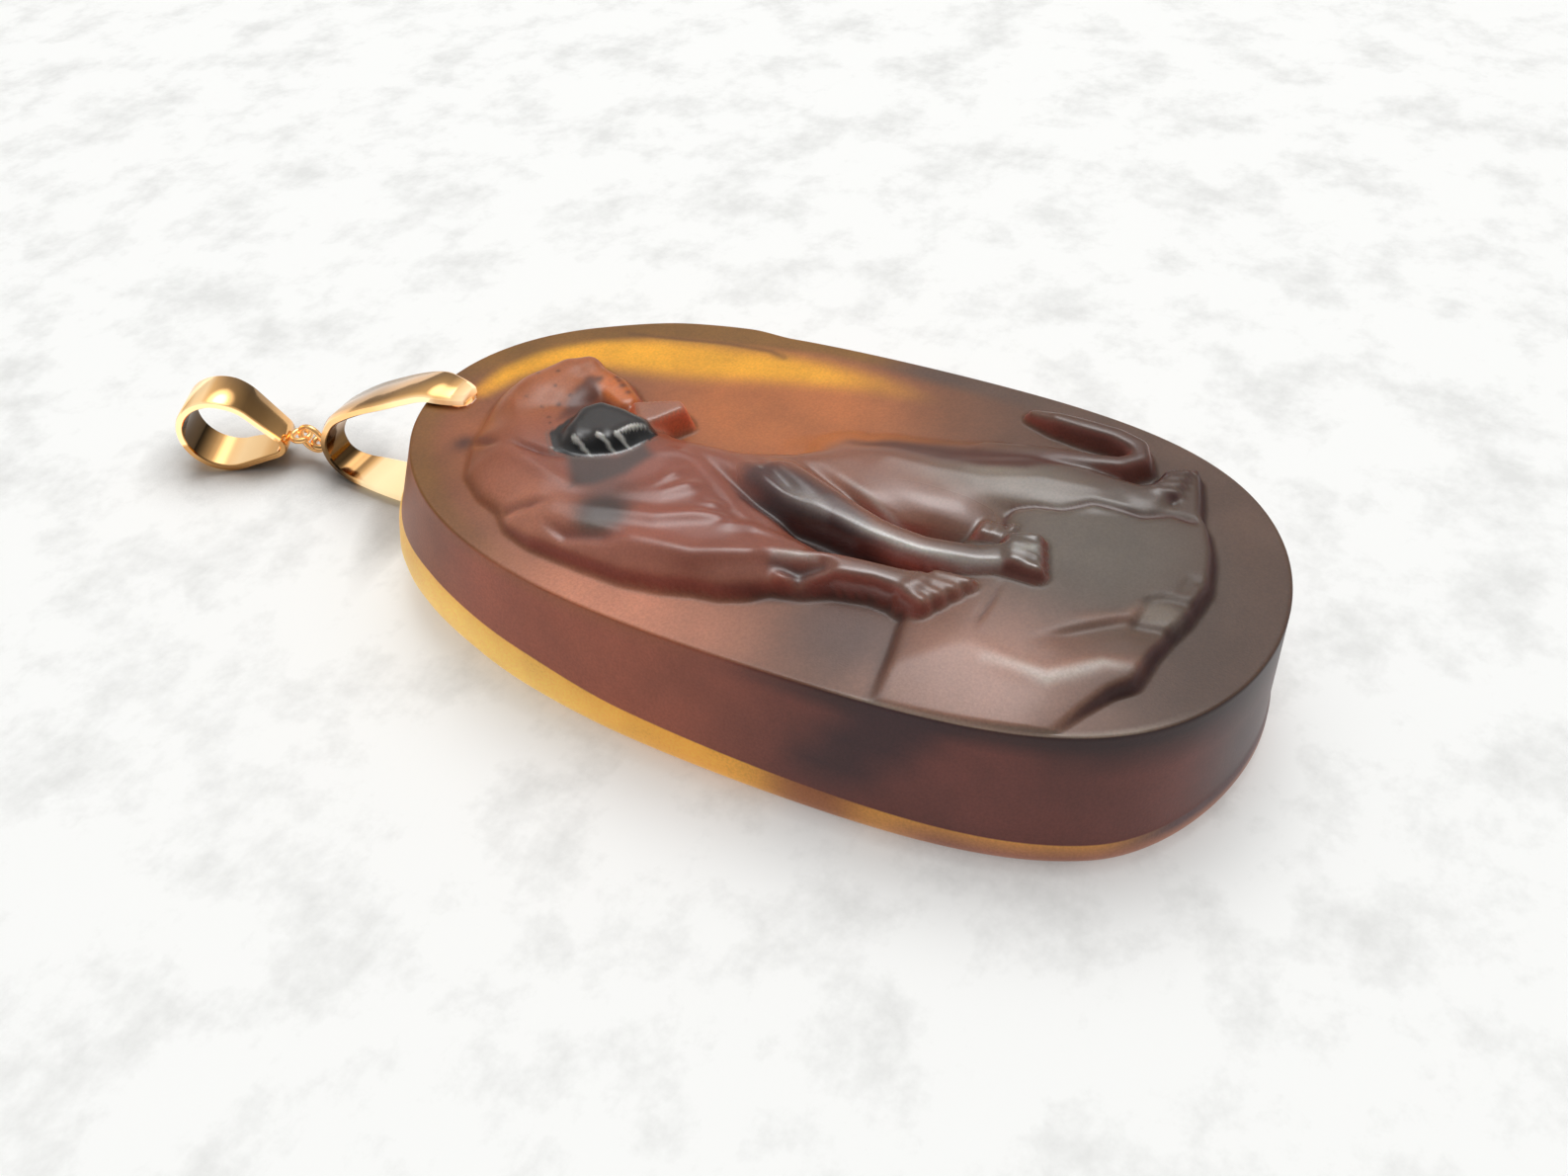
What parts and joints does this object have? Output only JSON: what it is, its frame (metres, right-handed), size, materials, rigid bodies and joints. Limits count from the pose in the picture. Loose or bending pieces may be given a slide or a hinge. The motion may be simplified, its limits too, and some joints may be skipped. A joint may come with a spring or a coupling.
{
  "type": "carved amber pendant",
  "caption": "Oval amber plaque carved in relief with a seated roaring lion on a rock, hung from a gold pinch bail, a jump ring and a tapered chain bail.",
  "frame": {"origin": "middle of the stone's flat back, which lies on the table", "axes": "+Z out of the carved face, +Y along the stone towards the bail, +X to the viewer's right as the carving is looked at"},
  "size_m": [0.029, 0.0704, 0.0112],
  "materials": {
    "amber": "polished translucent amber, red-brown with a honey base",
    "gold": "polished warm yellow gold"
  },
  "bodies": {
    "root": {"amber_stone": "amber", "pinch_bail": "gold", "jump_ring": "gold", "chain_bail": "gold"}
  },
  "joints": []
}
